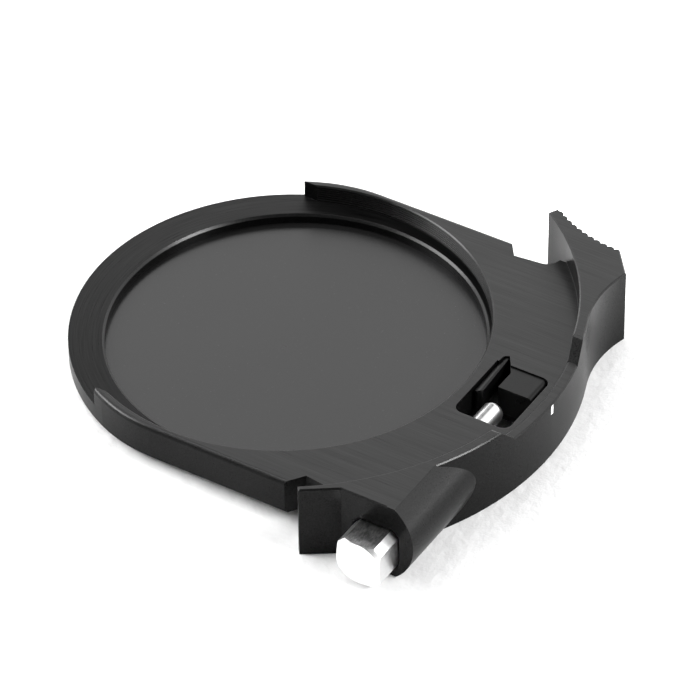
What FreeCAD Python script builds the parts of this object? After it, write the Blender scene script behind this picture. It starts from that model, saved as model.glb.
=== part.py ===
import FreeCAD, Part
import math
import os

# Slide-in filter tray for a lens-mount adapter, in millimetres.
# X runs along the release button (the button is at -X), -Y points at the grip,
# Z is the optical axis. Z = 0 is the plate's top face and X = Y = 0 is the glass centre.

# --- plate and ring ---------------------------------------------------------
PLATE_T = 4.92            # plate thickness
PLATE_HALF_W = 26.9       # half the width across the two guide rails
RING_R = 27.55            # rounded leading end
RING_Y = 0.86             # centre of that end
RING_TOP_Z = -2.45        # floor of the shallow recess
RECESS_R = 25.92
RECESS_Y = 1.76
HORN_END_Y = 13.7         # the rails stop here, only the ring goes further
HORN_INNER_X = 23.95      # the inside of each rail runs straight to its tip from here
HORN_STRAIGHT_Y = 11.0
NECK_X = 24.6             # relief in each rail next to the grip
NECK_TOP_Y = -16.95
RAIL_END_Y = -15.3
NECK_FILLET = 1.9
SHOULDER_Y = -22.3
RAIL_ROUND = 0.6          # rounded top edge of the rails and the leading end
RAIL_BLEND_R = 20.0       # each rail blends into the leading end
RAIL_FOOT_EDGE = 0.3
SHOULDER_EDGE = 0.12
RECESS_EDGE = 0.2
BAFFLE_COUNT = 6          # fine light-trap grooves round the recess wall
BAFFLE_PITCH = 0.34
BAFFLE_DEPTH = 0.12

# --- glass and its retaining ring -------------------------------------------
OPENING_R = 23.73
OPENING_EDGE = 0.3
GLASS_BORE_R = 24.4
GLASS_R = 24.3
GLASS_TOP_Z = -3.75
GLASS_T = 0.7
RETAINER_BORE_R = 23.6
SPANNER_SLOT_W = 1.4
SPANNER_SLOT_D = 0.25

# --- grip wall ---------------------------------------------------------------
GRIP_Y = 2.1              # centre of the grip's arcs
GRIP_IN_R = 36.85
GRIP_OUT_R = 38.25
GRIP_TOP_Z = 3.55
GRIP_BOTTOM_Z = -7.1
GRIP_EDGE = 0.18
ROOT_R = 37.5             # how far the plate reaches into the grip wall
LAND_Z = 1.2              # the wall is lower in the middle
LAND_X = 0.85
LAND_HALF_FOOT = 7.9
LAND_HALF_TOP = 10.3
RAMP_BEVEL = 0.2          # small facet at the top of each ramp

# --- finger tab and barrel on the button side --------------------------------
TAB_TIP_IN_X = -30.08
TAB_TIP_OUT = (-30.72, -19.71)
FACE_X = -27.84           # flat face the button comes out of
FACE_TOP_Y = -23.85
BARREL_FLAT_Y = -31.2     # where the barrel's round side meets the flat top
BARREL_BULGE_Y = -33.76
BARREL_END_X = -12.8

# --- serrated ear on the other side ------------------------------------------
EAR_BEND_X = 14.0         # the outer wall leaves the grip arc here
EAR_BEND_R = 18.5
EAR_CORNER = (24.8, -32.85)
EAR_HEEL = (29.6, -29.05)  # the ear's blank stands proud of the teeth, up to these
EAR_TOE = (32.3, -19.37)
EAR_TIP_IN_X = 30.6
TOOTH_COUNT = 11          # rounded ribs along a hollow, finger-shaped arc
TOOTH_ARC = (47.0, -30.0)
TOOTH_ARC_R = 18.52       # to the crests
TOOTH_DEPTH = 0.28
TOOTH_PITCH = 3.165       # degrees round the arc
TOOTH_START = 146.0       # angle of the first groove

# --- button, plunger and its spring ------------------------------------------
AXIS_Y = -28.6
BUTTON_Z = -3.07          # centre of the square bar
PLUNGER_Z = -2.46         # the plunger runs in the middle of the plate's thickness
BUTTON_W = 5.9            # across the main flats
BUTTON_CORNER = 0.94      # corner flats
BUTTON_FRONT_X = -31.9
BUTTON_BACK_X = -26.15
BUTTON_FACE_R = 2.95      # round front face left by the turned bevel
BUTTON_BEVEL_SLOPE = 0.58
POCKET_FLOOR_X = -24.75
POCKET_CLEARANCE = 0.06
POCKET_EDGE = 0.25
PLUNGER_R = 1.4
PLUNGER_START_X = -30.4
PLUNGER_TIP_X = 0.1
PLUNGER_DOME = 0.75
PLUNGER_CLEARANCE = 0.05
STROKE = -BUTTON_BACK_X + POCKET_FLOOR_X   # the bar lands on the pocket's floor
SPRING_WELL_R = 2.2
SPRING_WELL_X = -23.2
COIL_R = 1.84             # mean coil radius
COIL_WIRE_R = 0.15
COIL_TURNS = 3.5
STOP_X = -21.9
STOP_SCREW_R = 1.0
STOP_NOSE_R = 0.8
STOP_FLAT_D = 0.65        # depth of the flat the stop screw's nose stands in
STOP_GAP = 0.02
STOP_RECESS = 0.4
STOP_HEX_W = 0.9

# --- latch window and its insert ----------------------------------------------
WINDOW_X = (-5.05, 5.77)
WINDOW_Y = (-33.2, -25.55)
WINDOW_CORNER_R = 1.2
LEDGE_X = 1.65            # the window goes right through on the button side of this
LEDGE_TOP_Z = -4.12
DOG_EAR = ((5.5, -27.6), (5.96, -27.34), (7.22, -26.47), (6.85, -25.85), (4.94, -25.69),
           (4.5, -25.55), (4.0, -26.5))
INSERT_TOP_Z = -0.2
INSERT_BASE_Z = -3.1      # below this the block and the spring arm are joined
BLOCK_X = (1.65, 5.73)
BLOCK_Y = (-32.85, -28.08)
BLOCK_ROUND = 0.7         # long top edge on the grip side
BLOCK_CORNER_R = 0.9
BLOCK_STEP = ((5.73, -27.43), (4.7, -28.08))
ARM_TIP = ((-0.5, -25.78), (0.1, -26.86))
ARM_ROOT = ((7.1, -26.48), (6.76, -25.98))
ARM_BACK_BEND = (4.6, -25.8)
ARM_TIP_R = 0.3
ARM_RIDGE = ((-1.0, -26.56), (7.5, -26.2))    # highest line along the arm's top
ARM_BACK_SLOPE = 0.3      # fall of the top towards the leading end, per millimetre
ARM_FRONT_SLOPE = 0.12
SCREW_X = 3.65
SCREW_Y = -30.5
SCREW_R = 0.8
SCREW_LEN = 3.2
SCREW_HEAD_R = 1.4
SCREW_HEAD_T = 0.6
SCREW_SLOT_W = 0.32

# --- index mark -----------------------------------------------------------------
MARK_X = 0.8
MARK_W = 0.55
MARK_TOP_Z = 1.0
MARK_LEN = 1.35
MARK_DEPTH = 0.12

FAR = 60.0                # reach of cutting tools that only need to clear the part

os.makedirs("parts", exist_ok=True)


def vec(x, y, z=0.0):
    return FreeCAD.Vector(x, y, z)


def box(x, y, z):
    """Box from three (low, high) pairs."""
    return Part.makeBox(x[1] - x[0], y[1] - y[0], z[1] - z[0], vec(x[0], y[0], z[0]))


def disc(radius, z, y=0.0, x=0.0):
    """Upright cylinder; z is a (low, high) pair."""
    return Part.makeCylinder(radius, z[1] - z[0], vec(x, y, z[0]))


def rod(radius, x, z=PLUNGER_Z):
    """Cylinder along X on the button's line; x is a (low, high) pair."""
    return Part.makeCylinder(radius, x[1] - x[0], vec(x[0], AXIS_Y, z), vec(1, 0, 0))


def line(a, b):
    return Part.LineSegment(vec(*a), vec(*b)).toShape()


def arc(a, mid, b):
    return Part.Arc(vec(*a), vec(*mid), vec(*b)).toShape()


def prism(edges, z):
    """Closed outline of edges in the plane Z = 0, raised between the two z values."""
    face = Part.Face(Part.Wire(edges))
    face.translate(vec(0, 0, z[0]))
    return face.extrude(vec(0, 0, z[1] - z[0]))


def polygon_prism(points, z):
    ring = [vec(px, py, z[0]) for px, py in points]
    return Part.Face(Part.makePolygon(ring + ring[:1])).extrude(vec(0, 0, z[1] - z[0]))


def side_prism(points, y):
    """Outline given as (x, z) points, extruded along Y."""
    ring = [vec(px, y[0], pz) for px, pz in points]
    return Part.Face(Part.makePolygon(ring + ring[:1])).extrude(vec(0, y[1] - y[0], 0))


def end_prism(points, x):
    """Outline given as (y, z) points, extruded along X."""
    ring = [vec(x[0], py, pz) for py, pz in points]
    return Part.Face(Part.makePolygon(ring + ring[:1])).extrude(vec(x[1] - x[0], 0, 0))


def grip_arc_y(radius, x):
    """Y of a grip arc of the given radius at x."""
    return GRIP_Y - math.sqrt(radius ** 2 - x ** 2)


def flat_edges(shape, z):
    """Edges that lie wholly at height z."""
    found = []
    for edge in shape.Edges:
        bounds = edge.BoundBox
        if abs(bounds.ZMin - z) < 1e-4 and abs(bounds.ZMax - z) < 1e-4:
            found.append(edge)
    return found


def octagon(half, corner):
    """(y, z) points of a square bar with cut corners, centred on the button."""
    inner = half - corner
    points = []
    for turn in range(4):
        angle = math.radians(90 * turn)
        for across, along in ((half, -inner), (half, inner)):
            py = across * math.cos(angle) - along * math.sin(angle)
            pz = across * math.sin(angle) + along * math.cos(angle)
            points.append((AXIS_Y + py, BUTTON_Z + pz))
    return points


def octagon_wire(half, x):
    points = octagon(half, BUTTON_CORNER)
    return Part.makePolygon([vec(x, py, pz) for py, pz in points + points[:1]])


# --- tray body ------------------------------------------------------------------
def side_edges(shape, z):
    """Edges at height z that belong to the rails or to the round leading end."""
    return [edge for edge in flat_edges(shape, z) if edge.BoundBox.YMax > RAIL_END_Y + 1]


def plate_blank():
    """Round leading end and the two straight rails, with their soft edges."""
    rail_top = RING_Y + math.sqrt(RING_R ** 2 - PLATE_HALF_W ** 2)
    edges = [line((-NECK_X, NECK_TOP_Y), (NECK_X, NECK_TOP_Y))]
    for side in (1, -1):
        edges.append(line((side * NECK_X, NECK_TOP_Y), (side * PLATE_HALF_W, RAIL_END_Y)))
        edges.append(line((side * PLATE_HALF_W, RAIL_END_Y), (side * PLATE_HALF_W, rail_top)))
    edges.append(arc((PLATE_HALF_W, rail_top), (0, RING_Y + RING_R), (-PLATE_HALF_W, rail_top)))
    blank = prism(Part.__sortEdges__(edges), (-PLATE_T, 0))
    corners = [edge for edge in blank.Edges if edge.BoundBox.YMin > rail_top - 0.01]
    blank = blank.makeFillet(RAIL_BLEND_R, [edge for edge in corners if edge.BoundBox.ZLength > 1])
    blank = blank.makeFillet(RAIL_ROUND, side_edges(blank, 0))
    return blank.makeChamfer(RAIL_FOOT_EDGE, side_edges(blank, -PLATE_T))


def shoulder_blank():
    """The neck behind the rails and the wider shoulders that run into the grip."""
    root_y = grip_arc_y(ROOT_R, PLATE_HALF_W)
    neck_y = SHOULDER_Y + NECK_FILLET
    mid = NECK_FILLET * math.sqrt(0.5)
    edges = [arc((-PLATE_HALF_W, root_y), (0, GRIP_Y - ROOT_R), (PLATE_HALF_W, root_y))]
    edges.append(line((-NECK_X, NECK_TOP_Y + 1), (NECK_X, NECK_TOP_Y + 1)))
    for side in (1, -1):
        out_x = side * PLATE_HALF_W
        bend_x = side * (PLATE_HALF_W - NECK_FILLET)
        bend = (side * (PLATE_HALF_W - mid), neck_y - mid)
        edges.append(line((out_x, root_y), (out_x, SHOULDER_Y)))
        edges.append(arc((out_x, SHOULDER_Y), bend, (bend_x, neck_y)))
        edges.append(line((bend_x, neck_y), (side * NECK_X, NECK_TOP_Y)))
        edges.append(line((side * NECK_X, NECK_TOP_Y), (side * NECK_X, NECK_TOP_Y + 1)))
    blank = prism(Part.__sortEdges__(edges), (-PLATE_T, 0))
    edges = [edge for edge in flat_edges(blank, 0) if edge.BoundBox.XLength < 1e-4]
    edges = [edge for edge in edges if edge.BoundBox.YMax < SHOULDER_Y + 0.1]
    return blank.makeChamfer(SHOULDER_EDGE, edges)


def grip_blank(top_z):
    """The curved wall with finger tab and ear, the same height all round."""
    tab_in = (TAB_TIP_IN_X, grip_arc_y(GRIP_IN_R, TAB_TIP_IN_X))
    tip_in = (EAR_TIP_IN_X, grip_arc_y(GRIP_IN_R, EAR_TIP_IN_X))
    face_top = (FACE_X, FACE_TOP_Y)
    face_foot = (FACE_X, BARREL_FLAT_Y)
    wall_x = -math.sqrt(GRIP_OUT_R ** 2 - (GRIP_Y - BARREL_FLAT_Y) ** 2)
    wall_start = (wall_x, BARREL_FLAT_Y)
    bend = (EAR_BEND_X, grip_arc_y(GRIP_OUT_R, EAR_BEND_X))
    slope = math.asin(EAR_BEND_X / GRIP_OUT_R)
    low_x = EAR_BEND_X + EAR_BEND_R * math.sin(slope)
    low_y = bend[1] + EAR_BEND_R * (1 - math.cos(slope))
    edges = [
        line(tab_in, TAB_TIP_OUT),
        line(TAB_TIP_OUT, face_top),
        line(face_top, face_foot),
        line(face_foot, wall_start),
        arc(wall_start, (0, GRIP_Y - GRIP_OUT_R), bend),
        arc(bend, (low_x, low_y), EAR_CORNER),
        line(EAR_CORNER, EAR_HEEL),
        line(EAR_HEEL, EAR_TOE),
        line(EAR_TOE, tip_in),
        arc(tip_in, (0, GRIP_Y - GRIP_IN_R), tab_in),
    ]
    blank = prism(edges, (GRIP_BOTTOM_Z, top_z))
    blank = blank.makeChamfer(GRIP_EDGE, flat_edges(blank, top_z))
    return blank.makeChamfer(GRIP_EDGE, flat_edges(blank, GRIP_BOTTOM_Z))


def barrel():
    """Half-round boss round the button's bore, dying into the grip wall."""
    mid_z = (GRIP_TOP_Z + GRIP_BOTTOM_Z) / 2
    top = vec(FACE_X, BARREL_FLAT_Y, GRIP_TOP_Z)
    bulge = vec(FACE_X, BARREL_BULGE_Y, mid_z)
    foot = vec(FACE_X, BARREL_FLAT_Y, GRIP_BOTTOM_Z)
    back_top = vec(FACE_X, BARREL_FLAT_Y + 1, GRIP_TOP_Z)
    back_foot = vec(FACE_X, BARREL_FLAT_Y + 1, GRIP_BOTTOM_Z)
    edges = [Part.Arc(top, bulge, foot).toShape()]
    edges.append(Part.LineSegment(foot, back_foot).toShape())
    edges.append(Part.LineSegment(back_foot, back_top).toShape())
    edges.append(Part.LineSegment(back_top, top).toShape())
    boss = Part.Face(Part.Wire(edges)).extrude(vec(BARREL_END_X - FACE_X, 0, 0))
    inside = disc(GRIP_IN_R + 0.3, (GRIP_BOTTOM_Z - 1, GRIP_TOP_Z + 1), GRIP_Y)
    return boss.cut(inside)


def land_cut():
    """Removes the middle of the tall wall, with a bevelled 45-degree ramp at each end."""
    rise = GRIP_TOP_Z - LAND_Z
    run = LAND_HALF_TOP - LAND_HALF_FOOT
    bevel = RAMP_BEVEL * run / rise
    half = [
        (LAND_HALF_FOOT, GRIP_BOTTOM_Z - 1),
        (LAND_HALF_FOOT, LAND_Z),
        (LAND_HALF_TOP - bevel, GRIP_TOP_Z - RAMP_BEVEL),
        (LAND_HALF_TOP + RAMP_BEVEL, GRIP_TOP_Z),
        (LAND_HALF_TOP + RAMP_BEVEL, GRIP_TOP_Z + 1),
    ]
    right = [(LAND_X + px, pz) for px, pz in half]
    left = [(LAND_X - px, pz) for px, pz in reversed(half)]
    return side_prism(right + left, (-FAR, -25.0))


def ear_teeth():
    """What is cut from the ear's end to leave a row of rounded upright ribs."""
    z = (GRIP_BOTTOM_Z - 1, GRIP_TOP_Z + 1)
    half_pitch = math.radians(TOOTH_PITCH / 2) * TOOTH_ARC_R
    rib_r = (half_pitch ** 2 + TOOTH_DEPTH ** 2) / (2 * TOOTH_DEPTH)
    reach = TOOTH_ARC_R + rib_r
    cutter = disc(TOOTH_ARC_R + TOOTH_DEPTH, z, TOOTH_ARC[1], TOOTH_ARC[0])
    for index in range(TOOTH_COUNT):
        angle = math.radians(TOOTH_START + TOOTH_PITCH * (index + 0.5))
        rib_x = TOOTH_ARC[0] + reach * math.cos(angle)
        rib_y = TOOTH_ARC[1] + reach * math.sin(angle)
        cutter = cutter.cut(disc(rib_r, z, rib_y, rib_x))
    return cutter


def recess_cuts():
    """The shallow round recess, open towards the leading end."""
    z = (RING_TOP_Z, 1.0)
    tools = [disc(RECESS_R, z, RECESS_Y)]
    tools.append(box((-HORN_INNER_X, HORN_INNER_X), (HORN_STRAIGHT_Y, FAR), z))
    tools.append(box((-FAR, FAR), (HORN_END_Y, FAR), z))
    tools.append(Part.makeCone(RECESS_R, RECESS_R + 2 * RECESS_EDGE, 2 * RECESS_EDGE,
                               vec(0, RECESS_Y, -RECESS_EDGE)))
    return tools


def baffle_cuts():
    """Fine V-grooves round the recess wall that catch stray light."""
    first = RING_TOP_Z + 0.35
    tools = []
    for index in range(BAFFLE_COUNT):
        z = first + index * BAFFLE_PITCH
        half = BAFFLE_PITCH / 2
        low = Part.makeCone(RECESS_R, RECESS_R + BAFFLE_DEPTH, half, vec(0, RECESS_Y, z - half))
        high = Part.makeCone(RECESS_R + BAFFLE_DEPTH, RECESS_R, half, vec(0, RECESS_Y, z))
        tools.extend([low, high])
    return tools


def glass_cuts():
    tools = [disc(OPENING_R, (-FAR, 1.0))]
    tools.append(disc(GLASS_BORE_R, (-PLATE_T - 1, GLASS_TOP_Z)))
    tools.append(Part.makeCone(OPENING_R, OPENING_R + 2 * OPENING_EDGE, 2 * OPENING_EDGE,
                               vec(0, 0, RING_TOP_Z - OPENING_EDGE)))
    return tools


def window_cuts():
    """The window with a ledge under the insert, and the dog-ear for the arm's root."""
    window = box(WINDOW_X, WINDOW_Y, (-PLATE_T - 1, 1))
    corners = []
    for edge in window.Edges:
        bounds = edge.BoundBox
        if bounds.ZLength > 1.0 and (bounds.XMax < 0 or bounds.YMax < AXIS_Y):
            corners.append(edge)
    window = window.makeFillet(WINDOW_CORNER_R, corners)
    ledge = box((LEDGE_X, FAR), (-FAR, 0), (-PLATE_T - 2, LEDGE_TOP_Z))
    return [window.cut(ledge), polygon_prism(DOG_EAR, (LEDGE_TOP_Z, 1))]


def button_cuts():
    """Square pocket for the bar, spring well, and the plunger's long bore."""
    half = BUTTON_W / 2 + POCKET_CLEARANCE
    pocket = end_prism(octagon(half, BUTTON_CORNER), (FACE_X - 1, POCKET_FLOOR_X))
    outer = octagon_wire(half + POCKET_EDGE, FACE_X - 0.01)
    inner = octagon_wire(half, FACE_X + POCKET_EDGE)
    mouth = Part.makeLoft([outer, inner], True, True)
    well = rod(SPRING_WELL_R, (POCKET_FLOOR_X - 1, SPRING_WELL_X))
    bore = rod(PLUNGER_R + PLUNGER_CLEARANCE, (SPRING_WELL_X - 1, WINDOW_X[0] + 1))
    return [pocket, mouth, well, bore]


def stop_screw_bore():
    top = PLUNGER_Z - PLUNGER_R + 0.2
    return disc(STOP_SCREW_R, (GRIP_BOTTOM_Z - 1, top), AXIS_Y, STOP_X)


def mark_slab():
    """Thin curved slab on the outside of the wall where the index mark sits."""
    z = (MARK_TOP_Z - MARK_LEN, MARK_TOP_Z)
    shell = disc(GRIP_OUT_R, z, GRIP_Y).cut(disc(GRIP_OUT_R - MARK_DEPTH, z, GRIP_Y))
    return shell.common(box((MARK_X - MARK_W / 2, MARK_X + MARK_W / 2), (-FAR, -30.0), z))


def tray_body():
    tall = grip_blank(GRIP_TOP_Z).cut([land_cut(), ear_teeth()])
    low = grip_blank(LAND_Z).cut(ear_teeth())
    body = plate_blank().fuse([shoulder_blank(), tall, low, barrel()])
    body = body.removeSplitter()
    tools = recess_cuts() + baffle_cuts() + glass_cuts() + window_cuts() + button_cuts()
    tools.append(stop_screw_bore())
    tools.append(countersunk(0.02))
    tools.append(mark_slab())
    for tool in tools:
        body = body.cut(tool)
    return body


# --- glass ------------------------------------------------------------------------
def filter_glass():
    glass = disc(GLASS_R, (GLASS_TOP_Z - GLASS_T, GLASS_TOP_Z))
    return glass.makeChamfer(0.12, flat_edges(glass, GLASS_TOP_Z))


def glass_retainer():
    z = (-PLATE_T, GLASS_TOP_Z - GLASS_T)
    ring = disc(GLASS_BORE_R, z).cut(disc(RETAINER_BORE_R, z))
    slot = box((-SPANNER_SLOT_W / 2, SPANNER_SLOT_W / 2), (-FAR, FAR),
               (-PLATE_T - 1, -PLATE_T + SPANNER_SLOT_D))
    return ring.cut(slot)


# --- button and plunger -------------------------------------------------------------
def release_button():
    bar = end_prism(octagon(BUTTON_W / 2, BUTTON_CORNER), (BUTTON_FRONT_X, BUTTON_BACK_X))
    reach = 2.0
    bevel = Part.makeCone(BUTTON_FACE_R, BUTTON_FACE_R + reach / BUTTON_BEVEL_SLOPE, reach,
                          vec(BUTTON_FRONT_X, AXIS_Y, BUTTON_Z), vec(1, 0, 0))
    rest = rod(BUTTON_W, (BUTTON_FRONT_X + reach, BUTTON_BACK_X), BUTTON_Z)
    bar = bar.common(bevel.fuse(rest))
    return bar.cut(rod(PLUNGER_R, (PLUNGER_START_X, BUTTON_BACK_X + 1)))


def plunger():
    pin = rod(PLUNGER_R, (PLUNGER_START_X, PLUNGER_TIP_X))
    tip = [edge for edge in pin.Edges if edge.BoundBox.XMin > PLUNGER_TIP_X - 0.01]
    pin = pin.makeFillet(PLUNGER_DOME, tip)
    low = PLUNGER_Z - PLUNGER_R
    near = STOP_X - STOP_NOSE_R - STOP_GAP - STROKE
    far = STOP_X + STOP_NOSE_R + STOP_GAP
    flat = box((near, far), (AXIS_Y - 2, AXIS_Y + 2), (low - 1, low + STOP_FLAT_D))
    return pin.cut(flat)


def return_spring():
    """Round-wire coil round the plunger, between the bar and the well's floor."""
    length = SPRING_WELL_X - BUTTON_BACK_X
    reach = length - 2 * COIL_WIRE_R
    helix = Part.makeHelix(reach / COIL_TURNS, reach, COIL_R)
    section = Part.Wire(Part.makeCircle(COIL_WIRE_R, vec(COIL_R, 0, 0), vec(0, 1, 0)))
    spring = Part.Wire(helix).makePipeShell([section], True, True)
    spring.rotate(vec(0, 0, 0), vec(0, 1, 0), 90)
    spring.translate(vec(BUTTON_BACK_X + COIL_WIRE_R, AXIS_Y, PLUNGER_Z))
    return spring


def stop_screw():
    """Headless screw whose nose stands in the plunger's flat and limits its travel."""
    low = PLUNGER_Z - PLUNGER_R
    foot = GRIP_BOTTOM_Z + STOP_RECESS
    screw = disc(STOP_SCREW_R, (foot, low - 0.1), AXIS_Y, STOP_X)
    nose = disc(STOP_NOSE_R, (low - 0.2, low + STOP_FLAT_D - 0.15), AXIS_Y, STOP_X)
    across = STOP_HEX_W / math.sqrt(3)
    points = []
    for corner in range(6):
        angle = math.radians(60 * corner)
        points.append((STOP_X + across * math.cos(angle), AXIS_Y + across * math.sin(angle)))
    return screw.fuse(nose).cut(polygon_prism(points, (foot - 1, foot + 0.9)))


# --- insert in the latch window --------------------------------------------------------
def insert_block():
    """Block with one long edge and one upright corner rounded."""
    block = polygon_prism([
        (BLOCK_X[0], BLOCK_Y[0]),
        (BLOCK_X[1], BLOCK_Y[0]),
        BLOCK_STEP[0],
        BLOCK_STEP[1],
        (BLOCK_X[0], BLOCK_Y[1]),
    ], (LEDGE_TOP_Z, INSERT_TOP_Z))
    corner = []
    for edge in block.Edges:
        bounds = edge.BoundBox
        low = bounds.YMax < BLOCK_Y[0] + 0.01 and bounds.XMin > BLOCK_X[1] - 0.01
        if low and bounds.ZLength > 1.0:
            corner.append(edge)
    block = block.makeFillet(BLOCK_CORNER_R, corner)
    return block.cut(edge_round())


def edge_round():
    """Sliver cut away to round the block's long top edge."""
    x = (BLOCK_X[0] - 1, BLOCK_X[1] + 1)
    low_z = INSERT_TOP_Z - BLOCK_ROUND
    back_y = BLOCK_Y[0] + BLOCK_ROUND
    sliver = box(x, (BLOCK_Y[0] - 1, back_y), (low_z, INSERT_TOP_Z + 1))
    bar = Part.makeCylinder(BLOCK_ROUND, x[1] - x[0], vec(x[0], back_y, low_z), vec(1, 0, 0))
    return sliver.cut(bar)


def arm_facet(slope, side):
    """Wedge that lets the arm's top fall away from its ridge on one side."""
    reach = 2.0 * side
    wires = []
    for px, py in ARM_RIDGE:
        points = [
            vec(px, py, INSERT_TOP_Z),
            vec(px, py + reach, INSERT_TOP_Z - slope * abs(reach)),
            vec(px, py + reach, INSERT_TOP_Z + 1),
            vec(px, py, INSERT_TOP_Z + 1),
        ]
        wires.append(Part.makePolygon(points + points[:1]))
    return Part.makeLoft(wires, True, True)


def insert_arm():
    """Slim spring arm with a ridged top and a rounded slanting tip."""
    outline = [ARM_TIP[0], ARM_TIP[1], ARM_ROOT[0], ARM_ROOT[1], ARM_BACK_BEND]
    arm = polygon_prism(outline, (INSERT_BASE_Z, INSERT_TOP_Z))
    tip = []
    for edge in arm.Edges:
        bounds = edge.BoundBox
        if bounds.XMax < ARM_TIP[1][0] + 0.01 and bounds.ZLength > 1.0:
            tip.append(edge)
    arm = arm.makeFillet(ARM_TIP_R, tip)
    return arm.cut([arm_facet(ARM_BACK_SLOPE, 1), arm_facet(ARM_FRONT_SLOPE, -1)])


def catch_insert():
    """Block and slim spring arm on one base, screwed down from below."""
    base = polygon_prism([
        (BLOCK_X[0], BLOCK_Y[1] - 1),
        (BLOCK_X[1], BLOCK_Y[1] - 1),
        BLOCK_STEP[0],
        ARM_ROOT[0],
        ARM_ROOT[1],
        (BLOCK_X[0], ARM_ROOT[1][1]),
    ], (LEDGE_TOP_Z, INSERT_BASE_Z + 0.1))
    insert = insert_block().fuse([base, insert_arm()]).removeSplitter()
    return insert.cut(countersunk(0.0))


def countersunk(gap):
    """The insert's screw, or with a gap the hole it sits in."""
    foot = -PLATE_T
    shank = disc(SCREW_R + gap, (foot, foot + SCREW_LEN), SCREW_Y, SCREW_X)
    head = Part.makeCone(SCREW_HEAD_R + gap, SCREW_R + gap, SCREW_HEAD_T,
                         vec(SCREW_X, SCREW_Y, foot))
    return shank.fuse(head)


def insert_screw():
    screw = countersunk(0.0)
    for turn in (45, 135):
        slot = box((-0.75, 0.75), (-SCREW_SLOT_W / 2, SCREW_SLOT_W / 2),
                   (-PLATE_T - 1, -PLATE_T + 0.4))
        slot.rotate(vec(0, 0, 0), vec(0, 0, 1), turn)
        slot.translate(vec(SCREW_X, SCREW_Y, 0))
        screw = screw.cut(slot)
    return screw


def index_mark():
    return mark_slab()


NODES = {
    "tray_body": tray_body,
    "filter_glass": filter_glass,
    "glass_retainer": glass_retainer,
    "release_button": release_button,
    "plunger": plunger,
    "return_spring": return_spring,
    "stop_screw": stop_screw,
    "catch_insert": catch_insert,
    "insert_screw": insert_screw,
    "index_mark": index_mark,
}

for name, build in NODES.items():
    shape = build()
    shape.exportStep("parts/" + name + ".step")
    print(name, shape.ShapeType, len(shape.Solids), round(shape.Volume, 2), shape.isValid())
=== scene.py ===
import math

import bmesh
import bpy
from mathutils import Matrix, Vector


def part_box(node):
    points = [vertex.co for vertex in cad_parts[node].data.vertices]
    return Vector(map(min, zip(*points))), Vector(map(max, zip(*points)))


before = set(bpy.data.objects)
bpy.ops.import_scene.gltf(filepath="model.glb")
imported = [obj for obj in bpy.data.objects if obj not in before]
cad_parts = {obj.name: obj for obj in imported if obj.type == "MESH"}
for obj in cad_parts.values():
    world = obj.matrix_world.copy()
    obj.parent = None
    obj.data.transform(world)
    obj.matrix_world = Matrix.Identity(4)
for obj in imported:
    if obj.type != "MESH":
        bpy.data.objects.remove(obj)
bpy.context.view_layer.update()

# A black slide-in filter tray on a pale sheet. Metres, in the tray's own frame:
# Z = 0 is the plate's top face and X = Y = 0 is the centre of the glass.

MM = 0.001

# --- camera -------------------------------------------------------------------
VIEW_AZIMUTH = -58.0
VIEW_ELEVATION = 39.62
VIEW_ROLL = 0.556
VIEW_DISTANCE = 0.6235
VIEW_AIM = Vector((1.34, -7.06, -3.15)) * MM
LENS = 259.2
SENSOR = 36.0

# --- studio --------------------------------------------------------------------
DIM = 0.12                       # brightness of the dark surroundings
WALL = 2.0                       # brightness of the white wall behind and to the right
WALL_AZIMUTH = 112.0
WALL_HALF_WIDTH = (86.0, 100.0)  # degrees over which the wall fades out sideways
WALL_TOP = (44.0, 52.0)          # elevations over which it fades out upwards
FLOOR_HALF = 1.5                 # half the sheet's side, in metres
FLOOR_CELLS = 4
FLOOR_GAP = 0.02 * MM
FLOOR_PAINTED_LIGHT = 2.0                 # painted light: emission that makes the sheet brighter on the right
FLOOR_PAINTED_LIGHT_AZIMUTH = 75.0
FLOOR_PAINTED_LIGHT_FROM = (29.0, 58.0)   # millimetres that way over which it sets in

# --- edges and shine --------------------------------------------------------------
TRAY_EDGE = 0.09 * MM            # how far the anodised edges are broken
INSERT_EDGE = 0.06 * MM
TURNED_SHINE = 0.8               # how far the ledge's shine spreads across its rings
UPRIGHT_SHINE = 0.07             # specular level of upright walls
FLAT_SHINE = 0.22                # and of faces that look up

# --- places on the tray, read from the CAD frame ---------------------------------
body_low, body_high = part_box("tray_body")
button_low, button_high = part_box("release_button")
plate_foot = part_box("glass_retainer")[0].z
button_axis = (button_low + button_high) / 2
RECESS_FLOOR = -2.45 * MM


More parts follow.
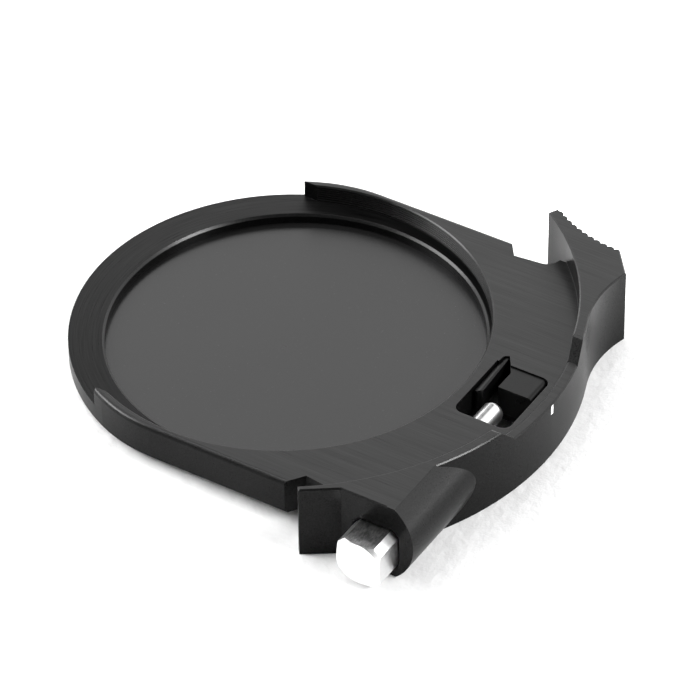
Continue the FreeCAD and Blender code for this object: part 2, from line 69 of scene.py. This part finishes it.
class Tree:
    """Builds one node tree with short calls. An input is a socket or a plain value."""

    def __init__(self, owner):
        owner.use_nodes = True
        self.tree = owner.node_tree

    def node(self, kind, inputs=None, **settings):
        made = self.tree.nodes.new(kind)
        for name, setting in settings.items():
            setattr(made, name, setting)
        for name, value in (inputs or {}).items():
            self.feed(made.inputs[name], value)
        return made

    def feed(self, socket, value):
        if isinstance(value, bpy.types.NodeSocket):
            self.tree.links.new(value, socket)
        else:
            socket.default_value = value

    def math(self, operation, first, second=0.0):
        inputs = {0: first, 1: second}
        return self.node("ShaderNodeMath", inputs, operation=operation).outputs[0]

    def times(self, *factors):
        result = factors[0]
        for factor in factors[1:]:
            result = self.math("MULTIPLY", result, factor)
        return result

    def plus(self, *terms):
        result = terms[0]
        for term in terms[1:]:
            result = self.math("ADD", result, term)
        return result

    def steps(self, value, low, high, out_low=0.0, out_high=1.0):
        """Smooth step of value between low and high."""
        inputs = {"Value": value, "From Min": low, "From Max": high,
                  "To Min": out_low, "To Max": out_high}
        return self.node("ShaderNodeMapRange", inputs,
                         interpolation_type="SMOOTHSTEP").outputs["Result"]

    def place(self):
        return self.node("ShaderNodeTexCoord").outputs["Object"]

    def normal(self):
        return self.node("ShaderNodeNewGeometry").outputs["Normal"]

    def parts(self, vector):
        return self.node("ShaderNodeSeparateXYZ", {0: vector}).outputs

    def joined(self, x, y, z):
        return self.node("ShaderNodeCombineXYZ", {0: x, 1: y, 2: z}).outputs[0]

    def stretched(self, vector, scale):
        """Coordinates in pattern cells per metre along each axis."""
        return self.node("ShaderNodeVectorMath", {0: vector, 1: scale},
                         operation="MULTIPLY").outputs[0]

    def noise(self, vector, detail=2.0, roughness=0.5):
        inputs = {"Vector": vector, "Scale": 1.0, "Detail": detail, "Roughness": roughness}
        return self.node("ShaderNodeTexNoise", inputs).outputs["Fac"]

    def polar(self, vector, centre_x=0.0, centre_y=0.0):
        """Distance from an upright axis, and the angle round it."""
        x, y, z = self.parts(vector)
        across = self.math("SUBTRACT", x, centre_x)
        along = self.math("SUBTRACT", y, centre_y)
        squared = self.plus(self.times(across, across), self.times(along, along))
        return self.math("SQRT", squared), self.math("ARCTAN2", along, across)

    def mix(self, factor, first, second):
        inputs = {"Factor": factor, "A": first, "B": second}
        return self.node("ShaderNodeMix", inputs).outputs["Result"]

    def grey(self, level):
        return self.joined(level, level, level)

    def rounded(self, radius):
        """Normal of the surface with its sharp edges slightly broken."""
        return self.node("ShaderNodeBevel", {"Radius": radius}, samples=6).outputs[0]

    def bump(self, height, distance, strength=1.0, normal=None):
        inputs = {"Height": height, "Distance": distance, "Strength": strength}
        if normal:
            inputs["Normal"] = normal
        return self.node("ShaderNodeBump", inputs).outputs["Normal"]

    def surface(self, **inputs):
        """Sets the Principled shader's inputs; an underscore stands for a space."""
        shader = self.tree.nodes["Principled BSDF"]
        for name, value in inputs.items():
            self.feed(shader.inputs[name.replace("_", " ")], value)


def material(name):
    made = bpy.data.materials.new(name)
    return made, Tree(made)


# --- materials --------------------------------------------------------------------
def black_anodised():
    """Milled black aluminium: straight streaks on the deck, turned rings on the ledge."""
    made, t = material("black_anodised")
    place = t.place()
    x, y, z = t.parts(place)
    rise = t.parts(t.normal())[2]
    up = t.steps(rise, 0.95, 0.99)
    high = t.steps(z, RECESS_FLOOR * 0.6, RECESS_FLOOR * 0.4)
    deck = t.times(up, high)
    ledge = t.times(up, t.math("SUBTRACT", 1.0, high))

    wide = t.noise(t.stretched(place, (1100, 35, 1)), 3.0, 0.6)
    fine = t.noise(t.stretched(place, (6000, 130, 1)), 2.0, 0.5)
    streaks = t.plus(t.times(wide, 0.5), t.times(fine, 0.5))
    radius, angle = t.polar(place)
    turned = t.noise(t.joined(t.times(radius, 5500), t.times(angle, 3.0), 0.0), 3.0, 0.6)
    grain = t.noise(t.stretched(place, (5200, 5200, 5200)), 2.0, 0.6)
    cloud = t.noise(t.stretched(place, (220, 220, 220)), 3.0, 0.55)

    pattern = t.mix(deck, t.mix(ledge, grain, turned), streaks)
    level = t.steps(pattern, 0.25, 0.75, 0.001, 0.006)
    rough = t.plus(0.2, t.times(pattern, 0.14), t.times(cloud, 0.06))
    depth = t.plus(0.35, t.times(ledge, 0.9), t.times(deck, 0.75))
    relief = t.bump(t.times(pattern, depth), 0.01 * MM, 1.0, t.rounded(TRAY_EDGE))
    shine = t.plus(t.steps(rise, 0.2, 0.6, UPRIGHT_SHINE, FLAT_SHINE),
                   t.times(pattern, t.plus(0.06, t.times(deck, 0.14))),
                   t.times(ledge, -0.12))
    along_rings = t.joined(t.times(y, -1.0), x, 0.0)
    t.surface(Base_Color=t.grey(level), Roughness=rough, Normal=relief,
              Specular_IOR_Level=shine, Anisotropic=t.times(ledge, TURNED_SHINE),
              Tangent=along_rings)
    return made


def dark_glass():
    """Nearly opaque neutral glass with a hard coating and a trace of dust."""
    made, t = material("dark_glass")
    place = t.place()
    smear = t.noise(t.stretched(place, (90, 130, 90)), 4.0, 0.6)
    dust = t.steps(t.noise(t.stretched(place, (4200, 4200, 4200)), 2.0, 0.7), 0.72, 0.8)
    level = t.plus(0.006, t.times(dust, 0.01))
    rough = t.plus(0.24, t.times(smear, 0.05), t.times(dust, 0.2))
    t.surface(Base_Color=t.grey(level), Roughness=rough, Specular_IOR_Level=0.42)
    return made


def turned_black():
    """The retaining ring: black with lathe rings."""
    made, t = material("turned_black")
    radius, angle = t.polar(t.place())
    rings = t.noise(t.joined(t.times(radius, 9000), t.times(angle, 3.0), 0.0), 2.0, 0.5)
    t.surface(Base_Color=t.grey(t.steps(rings, 0.2, 0.8, 0.01, 0.022)),
              Roughness=t.plus(0.3, t.times(rings, 0.15)),
              Normal=t.bump(rings, 0.006 * MM))
    return made


def bright_steel():
    """Satin steel: a clean turned end face and a fine drawn grain elsewhere; faces that look up
    carry painted shade, a much darker base colour.
    """
    made, t = material("bright_steel")
    place = t.place()
    x, y, z = t.parts(place)
    facing = t.parts(t.normal())
    top = t.steps(facing["Z"], 0.97, 0.995)
    end = t.steps(t.math("ABSOLUTE", facing["X"]), 0.5, 0.9)
    sideways = t.math("SUBTRACT", y, button_axis.y)
    above = t.math("SUBTRACT", z, button_axis.z)
    spread = t.plus(t.times(sideways, sideways), t.times(above, above))
    turned = t.noise(t.joined(t.times(t.math("SQRT", spread), 9000), 0.0, 0.0), 2.0, 0.6)
    drawn = t.noise(t.stretched(place, (1500, 5200, 5200)), 4.0, 0.65)
    mottle = t.noise(t.stretched(place, (1300, 1300, 1300)), 3.0, 0.6)
    pattern = t.mix(end, t.plus(t.times(drawn, 0.6), t.times(mottle, 0.4)), turned)
    clean = t.steps(pattern, 0.2, 0.8, 0.8, 0.9)
    # painted shade: the dark tone given to faces that look up
    painted_shade_tone = t.steps(pattern, 0.3, 0.7, 0.13, 0.34)
    t.surface(Base_Color=t.grey(t.mix(top, clean, painted_shade_tone)), Metallic=1.0,
              Roughness=t.plus(0.26, t.times(pattern, 0.14)),
              Normal=t.bump(pattern, 0.0015 * MM))
    return made


def spring_steel():
    made, t = material("spring_steel")
    grain = t.noise(t.stretched(t.place(), (9000, 9000, 9000)), 2.0, 0.5)
    t.surface(Base_Color=t.grey(t.steps(grain, 0.2, 0.8, 0.45, 0.6)), Metallic=1.0,
              Roughness=t.plus(0.2, t.times(grain, 0.15)))
    return made


def black_insert():
    """Smooth black moulding, a little glossier than the tray."""
    made, t = material("black_insert")
    place = t.place()
    grain = t.noise(t.stretched(place, (7000, 7000, 7000)), 3.0, 0.6)
    cloud = t.noise(t.stretched(place, (500, 500, 500)), 2.0, 0.5)
    t.surface(Base_Color=t.grey(t.steps(grain, 0.2, 0.8, 0.001, 0.004)),
              Roughness=t.plus(0.24, t.times(cloud, 0.12)), Specular_IOR_Level=0.2,
              Normal=t.bump(grain, 0.002 * MM, 1.0, t.rounded(INSERT_EDGE)))
    return made


def black_oxide():
    """Blackened screw steel with worn, slightly brown tops."""
    made, t = material("black_oxide")
    place = t.place()
    wear = t.noise(t.stretched(place, (2600, 2600, 2600)), 4.0, 0.65)
    level = t.steps(wear, 0.35, 0.75, 0.03, 0.12)
    tint = t.joined(level, t.times(level, 0.94), t.times(level, 0.88))
    t.surface(Base_Color=tint, Metallic=1.0, Roughness=t.plus(0.3, t.times(wear, 0.2)),
              Normal=t.bump(wear, 0.004 * MM))
    return made


def white_paint():
    made, t = material("white_paint")
    grain = t.noise(t.stretched(t.place(), (6000, 6000, 6000)), 3.0, 0.6)
    t.surface(Base_Color=t.grey(t.steps(grain, 0.2, 0.8, 0.78, 0.9)),
              Roughness=t.plus(0.4, t.times(grain, 0.2)),
              Normal=t.bump(grain, 0.004 * MM))
    return made


def pale_sheet():
    """The floor: pale card with a faint tooth, and painted light: it glows brighter towards the
    right.
    """
    made, t = material("pale_sheet")
    place = t.place()
    tooth = t.noise(t.stretched(place, (420, 420, 420)), 5.0, 0.6)
    x, y, z = t.parts(place)
    bright = towards(FLOOR_PAINTED_LIGHT_AZIMUTH, 0.0)
    reach = t.plus(t.times(x, bright.x), t.times(y, bright.y))
    start, end = (limit * MM for limit in FLOOR_PAINTED_LIGHT_FROM)
    # painted light: the sheet's emission rises towards the right
    t.surface(Base_Color=t.grey(t.steps(tooth, 0.2, 0.8, 0.86, 0.92)), Roughness=0.7,
              Normal=t.bump(tooth, 0.25 * MM), Emission_Color=t.grey(1.0),
              Emission_Strength=t.steps(reach, start, end, 0.0, FLOOR_PAINTED_LIGHT))
    return made


FINISHES = {
    "tray_body": black_anodised,
    "filter_glass": dark_glass,
    "glass_retainer": turned_black,
    "release_button": bright_steel,
    "plunger": bright_steel,
    "return_spring": spring_steel,
    "stop_screw": black_oxide,
    "catch_insert": black_insert,
    "insert_screw": black_oxide,
    "index_mark": white_paint,
}


def finish_nodes():
    made = {}
    for name, finish in FINISHES.items():
        if finish not in made:
            made[finish] = finish()
        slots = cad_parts[name].material_slots
        for slot in slots:
            slot.material = made[finish]


# --- studio ------------------------------------------------------------------------
def floor():
    """Pale sheet that the tray rests on: the grip's lower edge and the leading end."""
    fall = (plate_foot - body_low.z) / (body_high.y - body_low.y)
    grid = bmesh.new()
    bmesh.ops.create_grid(grid, x_segments=FLOOR_CELLS, y_segments=FLOOR_CELLS, size=FLOOR_HALF)
    for vertex in grid.verts:
        reach = vertex.co.y - body_low.y
        vertex.co.z = body_low.z - FLOOR_GAP + fall * reach
    mesh = bpy.data.meshes.new("floor")
    grid.to_mesh(mesh)
    grid.free()
    sheet = bpy.data.objects.new("floor", mesh)
    bpy.context.scene.collection.objects.link(sheet)
    mesh.materials.append(pale_sheet())


def towards(azimuth, elevation):
    """Unit vector; azimuth 0 is the -Y side and 90 the +X side."""
    a, e = math.radians(azimuth), math.radians(elevation)
    return Vector((math.sin(a) * math.cos(e), -math.cos(a) * math.cos(e), math.sin(e)))


def room():
    """Dark surroundings with a broad white wall behind and to the right."""
    world = bpy.data.worlds.new("room")
    bpy.context.scene.world = world
    t = Tree(world)
    x, y, z = t.parts(t.node("ShaderNodeTexCoord").outputs["Generated"])
    middle = towards(WALL_AZIMUTH, 0.0)
    along = t.plus(t.times(x, middle.x), t.times(y, middle.y))
    flat = t.math("SQRT", t.plus(t.times(x, x), t.times(y, y)))
    facing = t.math("DIVIDE", along, flat)
    inner, outer = (math.cos(math.radians(angle)) for angle in WALL_HALF_WIDTH)
    low, high = (math.sin(math.radians(angle)) for angle in WALL_TOP)
    wall = t.times(t.steps(facing, outer, inner), t.steps(z, low, high, 1.0, 0.0))
    background = t.tree.nodes["Background"]
    background.inputs["Color"].default_value = (1.0, 1.0, 1.0, 1.0)
    t.feed(background.inputs["Strength"], t.plus(DIM, t.times(wall, WALL)))


def soft_box(name, azimuth, elevation, distance, size, radiance):
    """Square area light aimed at the tray, given by the brightness of its face."""
    back = towards(azimuth, elevation)
    light = bpy.data.lights.new(name, "AREA")
    light.size = size
    light.energy = radiance * math.pi * size * size
    lamp = bpy.data.objects.new(name, light)
    lamp.location = back * distance
    lamp.rotation_euler = (-back).to_track_quat("-Z", "Y").to_euler()
    lamp.visible_camera = False
    bpy.context.scene.collection.objects.link(lamp)


def camera():
    a = math.radians(VIEW_AZIMUTH)
    back = towards(VIEW_AZIMUTH, VIEW_ELEVATION)
    right = Vector((math.cos(a), math.sin(a), 0.0))
    up = back.cross(right)
    turn = Matrix((right, up, back)).transposed().to_4x4()
    roll = Matrix.Rotation(math.radians(-VIEW_ROLL), 4, "Z")
    data = bpy.data.cameras.new("camera")
    data.lens = LENS
    data.sensor_width = SENSOR
    data.clip_start, data.clip_end = 0.05, 20.0
    eye = bpy.data.objects.new("camera", data)
    eye.matrix_world = Matrix.Translation(VIEW_AIM + back * VIEW_DISTANCE) @ turn @ roll
    bpy.context.scene.collection.objects.link(eye)
    bpy.context.scene.camera = eye


finish_nodes()
floor()
room()
soft_box("top", azimuth=176.0, elevation=68.0, distance=1.2, size=0.6, radiance=4.5)
soft_box("left edge", azimuth=206.0, elevation=33.0, distance=1.0, size=0.5, radiance=15.0)
soft_box("right edge", azimuth=8.0, elevation=40.0, distance=1.0, size=0.24, radiance=48.0)
camera()
bpy.context.scene.view_settings.view_transform = "Standard"
